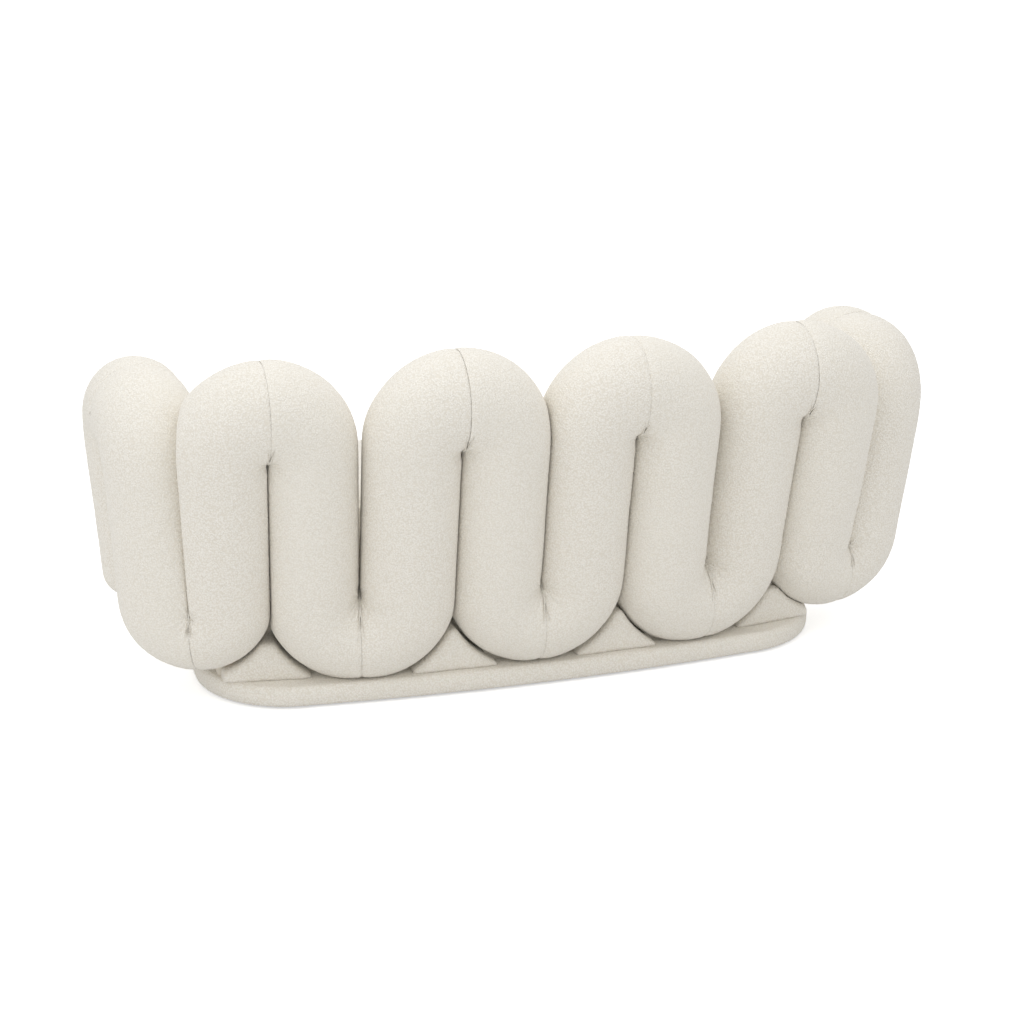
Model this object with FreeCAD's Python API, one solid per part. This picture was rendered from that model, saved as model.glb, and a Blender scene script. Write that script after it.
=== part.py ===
import FreeCAD, Part
import math
import os

# Tube sofa: one fat upholstered tube runs up and down round the back and both arms.
# Millimetres, +Z up, seat front towards -Y, the sitter's left arm at +X, floor at z = 0.

V = FreeCAD.Vector

# The whole sofa
overall_depth = 820.0
seat_height = 430.0
soft_clearance = 0.3  # between pieces that only press on each other
wood_clearance = 0.1  # round a peg or post in its hole

# The tube and its legs, numbered 1 to 12 from the front of the left arm
tube_radius = 109.0
slit = 2.0  # free width between two legs that stand side by side
station_height = 417.0  # height at which the legs' places are given
foot_height = 244.0  # the lower turns start here
back_head_height = 590.0  # the upper turns of the back start here
arm_head_height = 526.0  # the upper turns of the arms start here
arm_crown_rise = 97.0  # from there to the tube's axis over an arm
back_lean = 0.189  # backward run of a back leg per unit of height
free_end_depth = 60.0  # rounded lower end of an arm's front leg
crown_gores = 3  # straight pieces of cover in a quarter of an upper turn
foot_gores = 3  # the same in a lower turn
end_rings = 2  # tapering rings of the free end


class Leg:
    """Where one straight leg of the tube stands and how it leans."""

    def __init__(self, x, setback, side_lean, lean, head):
        self.x = x
        self.setback = setback
        self.side_lean = side_lean
        self.lean = lean
        self.head = head

    def at(self, height):
        rise = height - station_height
        return V(self.x + self.side_lean * rise, back_line - self.setback + self.lean * rise, height)

    def mirrored(self):
        return Leg(-self.x, self.setback, -self.side_lean, self.lean, self.head)


arm_front = Leg(795.0, 340.0, 0.110, -0.027, arm_head_height)
arm_rear = Leg(830.0, 127.0, 0.090, 0.080, arm_head_height)
corner = Leg(688.0, 59.0, 0.022, 0.240, back_head_height)
back_outer = Leg(502.0, 46.0, 0.035, back_lean, back_head_height)
back_middle = Leg(291.0, 4.0, 0.0, back_lean, back_head_height)
back_inner = Leg(96.0, 0.0, 0.0, back_lean, back_head_height)
left_legs = [arm_front, arm_rear, corner, back_outer, back_middle, back_inner]
legs = left_legs + [leg.mirrored() for leg in reversed(left_legs)]
leg_count = len(legs)

# Plinth
glide_height = 4.0
glide_radius = 15.0
glide_inset = 90.0
dust_cover_thickness = 1.0
plinth_top = 50.0
plinth_bottom_ply = 9.0
plinth_top_ply = 12.0
plinth_half_length = 736.0
plinth_back_reach = 23.0  # plinth's back edge behind the back line
plinth_bow = 27.0
plinth_back_radius = 223.0
plinth_front_recess = 60.0
plinth_front_radius = 110.0
band_thickness = 15.0
band_roll = 12.0
rib_thickness = 18.0
plinth_rib_count = 5

# Posts and ties inside the tube
post_width = 40.0
tie_width = 22.0
tie_height = 60.0
tie_cover = 4.7  # height of bench wall left over a tie

# Infill between the lower turns, on the plinth
infill_clearance = 10.0
infill_face = 62.0  # its back face from the legs' axes
infill_steps = 6
infill_top_width = 8.0

# Bench under the seat cushion
bench_side_gap = 7.0
bench_back_gap = 6.0
bench_back_radius = 120.0
bench_front_radius = 60.0
bench_front_recess = 12.0
apron_thickness = 20.0
wall_thickness = 18.0
block_width = 45.0
bench_rib_count = 3
rib_drop = 45.0  # room below the webbing for it to sag
rib_hole_radius = 55.0
webbing_thickness = 2.5
webbing_width = 60.0
long_webbing_count = 5
cross_webbing_count = 11
deck_pad_thickness = 20.0

# Seat cushion
cushion_thickness = 135.0
cushion_crown = 26.0
cushion_back_gap = 5.0
cushion_side_gap = 3.0
cushion_back_radius = 100.0
cushion_front_radius = 75.0
cushion_draw = 7.0  # how far each side pulls in between its corners


def unit(vector):
    return vector * (1.0 / vector.Length)


def across(vector, axis):
    """The part of a vector that is square to a unit axis."""
    return vector - axis * vector.dot(axis)


class Turn:
    """A U-turn between two neighbouring legs: top turns go up, bottom turns go down."""

    def __init__(self, first, second, at_top):
        self.at_top = at_top
        near = first.head if at_top else foot_height
        far = foot_height if at_top else min(first.head, second.head)
        starts = (first.at(near), second.at(near))
        ends = (first.at(far), second.at(far))
        self.pivot = (starts[0] + starts[1]) * 0.5
        self.radius = (starts[0] - starts[1]).Length / 2
        self.chord = unit(starts[0] - starts[1])
        run = self.pivot - (ends[0] + ends[1]) * 0.5
        self.rise = unit(across(run, self.chord))
        self.divide = unit(self.chord.cross(self.rise).cross(run))
        self.on_arm = at_top and first.head == arm_head_height
        self.crown = self.pivot + self.rise * (arm_crown_rise if self.on_arm else self.radius)

    def bends(self, away):
        """Corners of the tube's axis from a leg to the crown; away points from pivot to leg."""
        if self.on_arm:
            places = [(1.0, 0.42), (0.80, 0.80), (0.42, 1.0)]
            return [self.pivot + away * self.radius * x + (self.crown - self.pivot) * z
                    for x, z in places]
        count = crown_gores if self.at_top else foot_gores
        step = math.pi / 2 / count
        corner_radius = self.radius / math.cos(step / 2)
        angles = [step * (i + 0.5) for i in range(count)]
        return [self.pivot + (away * math.cos(angle) + self.rise * math.sin(angle)) * corner_radius
                for angle in angles]


def all_turns():
    return [Turn(legs[i], legs[i + 1], i % 2 == 0) for i in range(leg_count - 1)]


back_line = 0.0
crown_reach = max(turn.crown.y for turn in all_turns()[::2]) + tube_radius
back_line = overall_depth / 2 - crown_reach
front_line = -overall_depth / 2
turns = all_turns()


def beyond(point, direction):
    """Everything past a plane, as a wide disc thick enough for the tube."""
    reach = 6 * tube_radius
    return Part.makeCylinder(reach, reach, point, direction)


def gore(start, end, start_plane, end_plane):
    """Straight piece of tube between two mitre planes, each given by its normal."""
    along = unit(end - start)
    length = (end - start).Length + 4 * tube_radius
    tube = Part.makeCylinder(tube_radius, length, start - along * 2 * tube_radius, along)
    return tube.cut([beyond(start, start_plane * -1), beyond(end, end_plane)])


def free_end(foot, down):
    """Rounded lower end of an arm's front leg, in a few tapering rings."""
    rings = []
    angles = [math.radians(75.0) * step / end_rings for step in range(end_rings + 1)]
    for upper, lower in zip(angles, angles[1:]):
        start = foot + down * free_end_depth * math.sin(upper)
        length = free_end_depth * (math.sin(lower) - math.sin(upper))
        radii = (tube_radius * math.cos(upper), tube_radius * math.cos(lower))
        rings.append(Part.makeCone(*radii, length, start, down))
    return rings


def tube_leg(number):
    """One upholstered leg of the tube, from the seam below to the seam over its crown."""
    low_turn = number if number % 2 else number - 1
    high_turn = number - 1 if number % 2 else number
    free = low_turn in (-1, leg_count - 1)
    low_bends, low_end = [], legs[number].at(foot_height)
    if not free:
        turn = turns[low_turn]
        start_plane = turn.chord * (1 if low_turn == number else -1)
        low_bends, low_end = turn.bends(start_plane)[::-1], turn.crown
    turn = turns[high_turn]
    away = turn.chord * (1 if high_turn == number else -1)
    corners = [low_end] + low_bends + turn.bends(away) + [turn.crown]
    runs = [unit(b - a) for a, b in zip(corners, corners[1:])]
    start_plane = runs[0] if free else start_plane
    joints = [unit(a + b) for a, b in zip(runs, runs[1:])]
    planes = [start_plane] + joints + [away * -1]
    gores = [gore(corners[i], corners[i + 1], planes[i], planes[i + 1]) for i in range(len(runs))]
    straight = len(low_bends)
    pairs = [(index, 1 if index == number else -1) for index in (number - 1, number)
             if 0 <= index < leg_count - 1]
    own = {low_turn: range(straight), high_turn: range(straight + 1, len(gores))}
    if free:
        gores[0] = gores[0].fuse(free_end(low_end, runs[0] * -1))
    for index, sense in pairs:
        turn = turns[index]
        wall = beyond(turn.pivot - turn.divide * sense * slit / 2, turn.divide * sense)
        seam = beyond(turn.pivot, turn.chord * -sense)
        gores = [piece.cut(seam if i in own[index] else wall) for i, piece in enumerate(gores)]
    return gores[0].fuse(gores[1:])


def outline(height, inset, half_width, back, front, radii, bow=0.0, draw=0.0):
    """Level outline with rounded corners: bowed back edge, other edges drawn in by a sagitta."""
    half_width, back, front = half_width - inset, back - inset, front + inset
    back_radius, front_radius = (max(radius - inset, radius / 2) for radius in radii)
    diagonal = math.sqrt(0.5)
    side_back = back - bow

    def point(x, y):
        return V(x, y, height)

    def line_or_arc(start, middle, end):
        if (middle - (start + end) * 0.5).Length < 0.01:
            return Part.LineSegment(start, end).toShape()
        return Part.Arc(start, middle, end).toShape()

    def corner_arc(x, y, radius, side, towards):
        centre = point(side * (x - radius), y - towards * radius)
        ends = (centre + V(0, towards * radius, 0), centre + V(side * radius, 0, 0))
        middle = centre + V(side * radius * diagonal, towards * radius * diagonal, 0)
        ends = ends if side * towards > 0 else ends[::-1]
        return Part.Arc(ends[0], middle, ends[1]).toShape()

    middle_y = (side_back - back_radius + front + front_radius) / 2
    edges = []
    back_x = half_width - back_radius
    front_x = half_width - front_radius
    edges.append(line_or_arc(point(-back_x, side_back), point(0, back), point(back_x, side_back)))
    edges.append(corner_arc(half_width, side_back, back_radius, 1, 1))
    edges.append(line_or_arc(point(half_width, side_back - back_radius),
                             point(half_width - draw, middle_y),
                             point(half_width, front + front_radius)))
    edges.append(corner_arc(half_width, front, front_radius, 1, -1))
    edges.append(line_or_arc(point(front_x, front), point(0, front + draw), point(-front_x, front)))
    edges.append(corner_arc(half_width, front, front_radius, -1, -1))
    edges.append(line_or_arc(point(-half_width, front + front_radius),
                             point(-half_width + draw, middle_y),
                             point(-half_width, side_back - back_radius)))
    edges.append(corner_arc(half_width, side_back, back_radius, -1, 1))
    return Part.Wire(edges)


def plinth_outline(height, inset):
    return outline(height, inset, plinth_half_length, back_line + plinth_back_reach,
                   front_line + plinth_front_recess, (plinth_back_radius, plinth_front_radius),
                   bow=plinth_bow)


def bench_outline(height, inset):
    return outline(height, inset, bench_half_width, bench_back, front_line + bench_front_recess,
                   (bench_back_radius, bench_front_radius))


def slab(outline_at, inset, bottom, top):
    return Part.Face(outline_at(bottom, inset)).extrude(V(0, 0, top - bottom))


def box(x0, x1, y0, y1, z0, z1):
    return Part.makeBox(x1 - x0, y1 - y0, z1 - z0, V(x0, y0, z0))


def cylinder(radius, start, direction, length):
    return Part.makeCylinder(radius, length, start, direction)


# Heights and edges that follow from the sizes above
plinth_bottom = glide_height + dust_cover_thickness
plinth_core_inset = band_thickness + soft_clearance
cushion_bottom = seat_height - cushion_thickness
deck_pad_bottom = cushion_bottom - soft_clearance - deck_pad_thickness
wall_top = deck_pad_bottom - 2 * webbing_thickness
tie_bottom = wall_top - tie_cover - tie_height
tube_lowest_axis = foot_height - turns[5].radius
bench_half_width = arm_front.at(foot_height).x - tube_radius - bench_side_gap
bench_back = back_outer.at(tube_lowest_axis).y - tube_radius - bench_back_gap
cushion_half_width = arm_front.at(cushion_bottom).x - tube_radius - cushion_side_gap
cushion_back = back_inner.at(cushion_bottom).y - tube_radius - cushion_back_gap
cushion_bow = back_outer.setback * ((cushion_half_width - cushion_back_radius) / back_outer.x) ** 2


def post(number, growth=0.0):
    """Square hardwood post on a leg's axis, grown on every side for its bore."""
    leg = legs[number]
    arm_leg = leg.head == arm_head_height
    foot = tie_bottom if arm_leg else plinth_bottom + plinth_bottom_ply
    half = post_width / 2 + growth
    squares = []
    for height in (foot - growth, leg.head + growth):
        centre = leg.at(height)
        corners = [V(-half, -half), V(half, -half), V(half, half), V(-half, half), V(-half, -half)]
        squares.append(Part.makePolygon([centre + corner for corner in corners]))
    return Part.makeLoft(squares, True, True)


def tie_bar(start, end, growth=0.0):
    """Level bar on edge between two points given at its middle height."""
    run = end - start
    length = run.Length
    half = tie_width / 2 + growth
    bar = box(0, length, -half, half, -tie_height / 2 - growth, tie_height / 2 + growth)
    bar.rotate(V(), V(0, 0, 1), math.degrees(math.atan2(run.y, run.x)))
    bar.translate(start)
    return bar


def tie_ends(side):
    """The three ties of one arm: bench to front post, front to rear, rear to corner post."""
    order = (0, 1, 2) if side > 0 else (11, 10, 9)
    front, rear, corner_point = (legs[i].at(tie_bottom + tie_height / 2) for i in order)
    wall = V(side * (bench_half_width - apron_thickness - wall_thickness), front.y, front.z)
    return {"seat": (wall, front), "arm": (front, rear), "corner": (rear, corner_point)}


glide_x = plinth_half_length - plinth_back_radius
glide_back = back_line + plinth_back_reach - plinth_bow - glide_inset
glide_front = front_line + plinth_front_recess + glide_inset
glide_places = [(side * x, y) for y in (glide_back, glide_front)
                for side in (-1, 1) for x in (glide_x, glide_x / 3)]


def glide(x, y):
    return cylinder(glide_radius, V(x, y, 0), V(0, 0, 1), glide_height)


def plinth_parts():
    """Two plywood panels over battens, a padded band all round, a dust cover and glides."""
    inset = plinth_core_inset
    panel_top = plinth_bottom + plinth_bottom_ply
    rib_top = plinth_top - plinth_top_ply
    posts = [post(i, wood_clearance) for i in range(2, leg_count - 2)]
    bottom_panel = slab(plinth_outline, inset, plinth_bottom, panel_top)
    top_panel = slab(plinth_outline, inset, rib_top, plinth_top).cut(posts)
    battens = []
    for step in range(plinth_rib_count):
        x = (step / (plinth_rib_count - 1) - 0.5) * 2 * (plinth_half_length - plinth_back_radius)
        batten = box(x - rib_thickness / 2, x + rib_thickness / 2, front_line, back_line,
                     panel_top, rib_top)
        space = slab(plinth_outline, inset + plinth_front_radius / 2, panel_top, rib_top)
        battens.append(batten.common(space).cut(posts))
    levels = ((plinth_bottom, band_roll / 3), (plinth_bottom + band_roll, 0.0),
              (plinth_top - band_roll, 0.0), (plinth_top, band_roll / 2))
    band = Part.makeLoft([plinth_outline(z, i) for z, i in levels], True, True)
    band = band.cut([slab(plinth_outline, band_thickness, 0, plinth_top + 1)] + posts)
    sheet = slab(plinth_outline, inset, glide_height, plinth_bottom)
    return {
        "plinth_bottom_panel": bottom_panel,
        "plinth_top_panel": top_panel,
        "plinth_battens": Part.makeCompound(battens),
        "plinth_band": band,
        "dust_cover": sheet,
        "glides": Part.makeCompound([glide(x, y) for x, y in glide_places]),
    }


def infill(index):
    """Padded block in the gap under an upper turn, between the two lower turns beside it."""
    pair = (legs[index], legs[index + 1])
    feet = [leg.at(foot_height) for leg in pair]
    half_pair = (feet[0] - feet[1]).Length / 2
    level_bottom = plinth_top + soft_clearance
    middle = (pair[0].at(level_bottom) + pair[1].at(level_bottom)) * 0.5
    side = pair[0].at(level_bottom) - pair[1].at(level_bottom)
    side = unit(V(side.x, side.y, 0))
    out = V(0, 0, 1).cross(side) * (1 if side.x > 0 else -1)

    def gap(turn, height):
        reach = turn.radius + tube_radius + infill_clearance
        below = foot_height - height
        width = half_pair + turn.radius - math.sqrt(max(reach ** 2 - below ** 2, 0.0))
        return min(width, half_pair + post_width / 2 + infill_clearance)

    beside = (turns[index - 1], turns[index + 1])
    top = foot_height - tube_radius * 0.5
    while min(gap(turn, top) for turn in beside) < infill_top_width / 2:
        top -= infill_clearance
    heights = [level_bottom + (top - level_bottom) * step / infill_steps
               for step in range(infill_steps + 1)]
    right = [middle + side * gap(beside[0], z) + V(0, 0, z - level_bottom) for z in heights]
    left = [middle - side * gap(beside[1], z) + V(0, 0, z - level_bottom) for z in heights]
    loop = right + left[::-1] + right[:1]
    shift = out * (infill_face - half_pair * 2)
    face = Part.Face(Part.makePolygon([point + shift for point in loop]))
    block = face.extrude(out * half_pair * 2)
    bench = slab(bench_outline, -soft_clearance, plinth_top, seat_height)
    return block.cut([bench, post(index, wood_clearance), post(index + 1, wood_clearance)])


def seat_tie_bores():
    return [tie_bar(*tie_ends(side)["seat"], growth=wood_clearance) for side in (-1, 1)]


def bench_parts():
    """Plywood bench walls with corner blocks and ribs, and the padded apron round them."""
    outer = apron_thickness
    inner = apron_thickness + wall_thickness
    walls = slab(bench_outline, outer, plinth_top, wall_top)
    walls = walls.cut(slab(bench_outline, inner, plinth_top, wall_top))
    front = front_line + bench_front_recess
    corner_y = bench_back - bench_back_radius
    corner_x = bench_half_width - bench_back_radius
    wide = 2 * bench_half_width
    front_part = box(-wide, wide, front, front + inner, plinth_top, wall_top)
    back_part = box(-corner_x, corner_x, corner_y, bench_back, plinth_top, wall_top)
    side_zone = box(corner_x, wide, front + inner, bench_back, plinth_top, wall_top)
    bores = seat_tie_bores()

    def mirrored(shape):
        return shape.mirror(V(), V(1, 0, 0))

    parts = {
        "bench_front_wall": walls.common(front_part),
        "bench_back_wall": walls.common(back_part),
        "bench_side_wall_left": walls.common(side_zone).cut(bores),
        "bench_side_wall_right": walls.common(mirrored(side_zone)).cut(bores),
    }
    block_x = bench_half_width - inner
    block = box(block_x - block_width, block_x, front + inner, front + inner + block_width,
                plinth_top, wall_top).cut(walls)
    parts["bench_corner_blocks"] = Part.makeCompound([block, mirrored(block)])
    rib_top = wall_top - rib_drop
    ribs = []
    for step in range(bench_rib_count):
        x = (step / (bench_rib_count - 1) - 0.5) * 2 * (corner_x - block_width)
        rib = box(x - rib_thickness / 2, x + rib_thickness / 2, front + inner, bench_back - inner,
                  plinth_top, rib_top)
        middle = V(x - rib_thickness, (front + bench_back) / 2, (plinth_top + rib_top) / 2)
        ribs.append(rib.cut(cylinder(rib_hole_radius, middle, V(1, 0, 0), 2 * rib_thickness)))
    parts["bench_ribs"] = Part.makeCompound(ribs)
    apron = slab(bench_outline, 0.0, plinth_top, deck_pad_bottom)
    apron = apron.cut(slab(bench_outline, outer, plinth_top, deck_pad_bottom))
    parts["bench_apron"] = apron.cut(bores)
    return parts


def webbing(count, span_start, span_end, along_x):
    """A row of elastic straps laid over the bench walls."""
    straps = []
    layer = wall_top if along_x else wall_top + webbing_thickness
    for step in range(count):
        centre = span_start + (span_end - span_start) * (step + 0.5) / count
        low, high = centre - webbing_width / 2, centre + webbing_width / 2
        reach = 2 * bench_half_width
        ends = (-reach, reach, low, high) if along_x else (low, high, -reach, reach)
        straps.append(box(*ends, layer, layer + webbing_thickness))
    cover = slab(bench_outline, apron_thickness + soft_clearance, layer, layer + webbing_thickness)
    return Part.makeCompound([strap.common(cover) for strap in straps])


def deck_parts():
    inner = apron_thickness + wall_thickness
    front = front_line + bench_front_recess + inner
    side = bench_half_width - bench_back_radius
    return {
        "webbing_long": webbing(long_webbing_count, front, bench_back - inner, True),
        "webbing_cross": webbing(cross_webbing_count, -side, side, False),
        "deck_pad": slab(bench_outline, 0.0, deck_pad_bottom, deck_pad_bottom + deck_pad_thickness),
    }


def seat_cushion():
    """Loose bench cushion: boxed sides, drawn in between the corners, and a crowned top."""
    edge = seat_height - cushion_crown
    levels = (
        (cushion_bottom, 12.0),
        (cushion_bottom + 24.0, 0.0),
        (edge - 16.0, 0.0),
        (edge, 10.0),
        (edge + cushion_crown * 0.6, 60.0),
        (seat_height, 170.0),
    )
    wires = [outline(z, inset, cushion_half_width, cushion_back, front_line,
                     (cushion_back_radius, cushion_front_radius), cushion_bow, cushion_draw)
             for z, inset in levels]
    return Part.makeLoft(wires, True, True)


def bolster(number):
    """A leg of the tube, flattened where it rests on the plinth and bored for its woodwork."""
    shape = tube_leg(number)
    tools = [slab(plinth_outline, -soft_clearance, 0, plinth_top + soft_clearance)]
    tools.append(post(number, wood_clearance))
    for side in (-1, 1):
        tools += [tie_bar(*ends, growth=wood_clearance) for ends in tie_ends(side).values()]
    tools = [tool for tool in tools if tool.BoundBox.intersect(shape.BoundBox)]
    return shape.cut(tools)


def tie_parts():
    parts = {}
    for side, word in ((1, "left"), (-1, "right")):
        posts = [post(i) for i in (range(3) if side > 0 else range(leg_count - 3, leg_count))]
        for name, ends in tie_ends(side).items():
            parts[name + "_tie_" + word] = tie_bar(*ends).cut(posts)
    return parts


def save(name, shape):
    solids = shape.Solids
    result = solids[0] if len(solids) == 1 else Part.makeCompound(solids)
    result.exportStep("parts/" + name + ".step")
    state = "valid" if result.isValid() else "NOT VALID"
    print(name, len(solids), state, round(result.Volume / 1000), "cm3")


os.makedirs("parts", exist_ok=True)
for index in range(leg_count):
    save("bolster_%02d" % (index + 1), bolster(index))
    save("post_%02d" % (index + 1), post(index))
for group in (tie_parts(), plinth_parts(), bench_parts(), deck_parts()):
    for node, piece in group.items():
        save(node, piece)
infills = [infill(index) for index in range(2, leg_count - 2, 2)]
save("back_infill", Part.makeCompound(infills))
save("seat_cushion", seat_cushion())
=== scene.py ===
import math
import bpy
import numpy as np
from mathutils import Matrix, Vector


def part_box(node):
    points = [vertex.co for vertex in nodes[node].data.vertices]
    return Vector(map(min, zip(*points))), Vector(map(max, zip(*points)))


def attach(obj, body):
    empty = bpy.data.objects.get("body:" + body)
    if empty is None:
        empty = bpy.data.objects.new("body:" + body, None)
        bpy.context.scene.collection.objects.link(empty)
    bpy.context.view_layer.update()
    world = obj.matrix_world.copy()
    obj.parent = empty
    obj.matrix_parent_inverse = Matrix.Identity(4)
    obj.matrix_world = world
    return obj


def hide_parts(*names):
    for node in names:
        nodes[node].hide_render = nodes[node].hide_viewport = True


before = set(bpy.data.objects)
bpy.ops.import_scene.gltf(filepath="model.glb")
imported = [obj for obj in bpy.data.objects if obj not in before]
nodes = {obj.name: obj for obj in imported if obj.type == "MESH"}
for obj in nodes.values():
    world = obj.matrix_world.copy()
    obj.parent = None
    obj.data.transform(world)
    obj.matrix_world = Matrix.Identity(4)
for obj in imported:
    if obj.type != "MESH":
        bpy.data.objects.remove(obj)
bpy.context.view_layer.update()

# Sofa in ivory bouclé: one stuffed tube in twelve legs on a padded plinth, loose seat cushion.
# Metres, +Z up, seat front towards -Y.

scene = bpy.context.scene


def hashed(cells, seed):
    # whole-number lattice cells to fixed random values from 0 to 1: large primes mix the bits
    x, y, z = (cells[..., i].astype(np.int64) for i in range(3))
    mixed = (x * 73856093) ^ (y * 19349663) ^ (z * 83492791) ^ (seed * 2654435)
    mixed = (mixed ^ (mixed >> 13)) * 1274126177 & 0x7FFFFFFF
    mixed = (mixed ^ (mixed >> 15)) * 668265263 & 0x7FFFFFFF
    return mixed / float(0x7FFFFFFF)


def smoothStep(low, high, value):
    share = np.clip((value - low) / (high - low), 0.0, 1.0)
    return share * share * (3.0 - 2.0 * share)


def lumps(points, size, seed):
    # value noise from -1 to 1: random corner values of a lattice, blended smoothly
    scaled = points / size
    base = np.floor(scaled)
    part = scaled - base
    part = part * part * (3.0 - 2.0 * part)
    total = np.zeros(len(points))
    for dx in (0, 1):
        for dy in (0, 1):
            for dz in (0, 1):
                weight = np.abs(1 - dx - part[:, 0]) * np.abs(1 - dy - part[:, 1])
                weight = weight * np.abs(1 - dz - part[:, 2])
                total += weight * hashed(base + np.array([dx, dy, dz]), seed)
    return total * 2.0 - 1.0


def loops(points, size, seed):
    # yarn loops: 1 at the nearest of one random point per lattice cell, falling to 0 around it
    reach = 0.62  # squared, in cells
    scaled = points / size
    base = np.floor(scaled)
    nearest = np.full(len(points), 9.0)
    for dx in (-1, 0, 1):
        for dy in (-1, 0, 1):
            for dz in (-1, 0, 1):
                cell = base + np.array([dx, dy, dz])
                spot = cell + np.stack([hashed(cell, seed + i) for i in range(3)], axis=-1)
                nearest = np.minimum(nearest, ((scaled - spot) ** 2).sum(axis=1))
    return 1.0 - np.clip(nearest / reach, 0.0, 1.0)


def softFloor(value, floor, softness):
    # keeps value above floor with a rounded corner: floor + s ln(1 + exp((value - floor) / s))
    return floor + softness * np.logaddexp(0.0, (value - floor) / softness)


def unit(vectors):
    length = np.sqrt((vectors ** 2).sum(axis=-1, keepdims=True))
    return vectors / np.maximum(length, 1e-12)


def gridFaces(rows, columns, wrapRows=False):
    # quads between neighbouring points of a rows x columns grid that wraps round its columns
    rowEnd = rows if wrapRows else rows - 1
    i, j = np.meshgrid(np.arange(rowEnd), np.arange(columns), indexing="ij")
    i, j = i.ravel(), j.ravel()
    below, beside = (i + 1) % rows, (j + 1) % columns
    return np.stack([i * columns + j, below * columns + j,
                     below * columns + beside, i * columns + beside], axis=1)


def fan(ring, centre):
    # triangles from a closed ring of indices to one centre index
    return np.stack([ring, np.roll(ring, -1), np.full(len(ring), centre)], axis=1)


def cappedEnds(grid):
    # faces of a grid of rings, with the centre of its first and last ring added and fanned to
    rows, columns = grid.shape[:2]
    points = grid.reshape(-1, 3)
    faces = [gridFaces(rows, columns)]
    for row, index in ((0, len(points)), (rows - 1, len(points) + 1)):
        ring = np.arange(columns) + row * columns
        faces.append(fan(ring if row else ring[::-1], index))
    return np.concatenate([points, grid[0].mean(axis=0)[None], grid[-1].mean(axis=0)[None]]), faces


def signedVolume(points, faces):
    # six times the volume inside the faces, below zero where they point inwards
    total = 0.0
    for group in faces:
        for k in range(1, group.shape[1] - 1):
            a, b, c = points[group[:, 0]], points[group[:, k]], points[group[:, k + 1]]
            total += (a * np.cross(b, c)).sum()
    return total


def makePiece(name, points, faces):
    # one mesh object from numpy points and a list of face arrays, turned to face outwards
    points = np.asarray(points, float)
    if signedVolume(points, faces) < 0:
        faces = [group[:, ::-1] for group in faces]
    mesh = bpy.data.meshes.new(name)
    mesh.vertices.add(len(points))
    mesh.vertices.foreach_set("co", points.astype(np.float32).ravel())
    sizes = np.concatenate([np.full(len(group), group.shape[1]) for group in faces])
    corners = np.concatenate([group.ravel() for group in faces])
    starts = np.concatenate([[0], np.cumsum(sizes)[:-1]])
    mesh.loops.add(len(corners))
    mesh.loops.foreach_set("vertex_index", corners.astype(np.int32))
    mesh.polygons.add(len(sizes))
    mesh.polygons.foreach_set("loop_start", starts.astype(np.int32))
    mesh.polygons.foreach_set("use_smooth", np.full(len(sizes), True))
    mesh.update(calc_edges=True)
    mesh.validate()
    piece = bpy.data.objects.new(name, mesh)
    scene.collection.objects.link(piece)
    return piece


def gridNormals(grid, wrapRows=False):
    # outward directions on a grid that wraps round its columns, from its two tangents
    if wrapRows:
        along = np.roll(grid, -1, axis=0) - np.roll(grid, 1, axis=0)
    else:
        along = np.gradient(grid, axis=0)
    around = np.roll(grid, -1, axis=1) - np.roll(grid, 1, axis=1)
    return unit(np.cross(along, around))


def outwardNormals(grid):
    # the same on a closed section, turned about if they point into the piece
    normals = gridNormals(grid, wrapRows=True)
    faces = gridFaces(*grid.shape[:2], wrapRows=True)
    return -normals if signedVolume(grid.reshape(-1, 3), [faces]) < 0 else normals


fluff = {"large": 0.0070, "small": 0.0048, "largeShare": 0.7, "smallShare": 0.3, "depth": 0.0011}


def fleece(grid, normals, seed, depth=fluff["depth"]):
    # raises yarn loops of two sizes along the normals, drawn larger than the real 4 mm so that
    # they stand as geometry; the real size is left to the material
    flat = grid.reshape(-1, 3)
    height = (fluff["largeShare"] * loops(flat, fluff["large"], seed)
              + fluff["smallShare"] * loops(flat, fluff["small"], seed + 7))
    shift = (height * depth)[:, None] * normals.reshape(-1, 3)
    return (flat + shift).reshape(grid.shape)


def setAttribute(piece, name, values):
    layer = piece.data.attributes.new(name, "FLOAT", "POINT")
    layer.data.foreach_set("value", np.asarray(values, np.float32))


def finishPiece(piece, material, slot, body, *replaced):
    piece.data.materials.clear()
    piece.data.materials.append(material)
    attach(piece, body)
    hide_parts(*replaced)


def linear(hexColor):
    # sRGB hex to linear RGBA
    channels = [int(hexColor[i:i + 2], 16) / 255.0 for i in (1, 3, 5)]
    return [c / 12.92 if c <= 0.04045 else ((c + 0.055) / 1.055) ** 2.4 for c in channels] + [1.0]


def add(tree, kind, settings=None, links=None):
    # adds a node. Settings: a number or "in:name" is an input, any other text an attribute.
    # Links: input to output socket.
    node = tree.nodes.new(kind)
    for key, value in (settings or {}).items():
        if isinstance(key, str) and not key.startswith("in:"):
            setattr(node, key, value)
        else:
            socket = key[3:] if isinstance(key, str) else key
            node.inputs[socket].default_value = value
    for key, source in (links or {}).items():
        tree.links.new(source, node.inputs[key])
    return node


def newMaterial(name, **shaderSettings):
    material = bpy.data.materials.new(name)
    material.use_nodes = True
    tree = material.node_tree
    shader = tree.nodes["Principled BSDF"]
    for key, value in shaderSettings.items():
        shader.inputs[key.replace("_", " ")].default_value = value
    place = add(tree, "ShaderNodeTexCoord").outputs["Object"]
    return material, tree, shader, place


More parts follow.
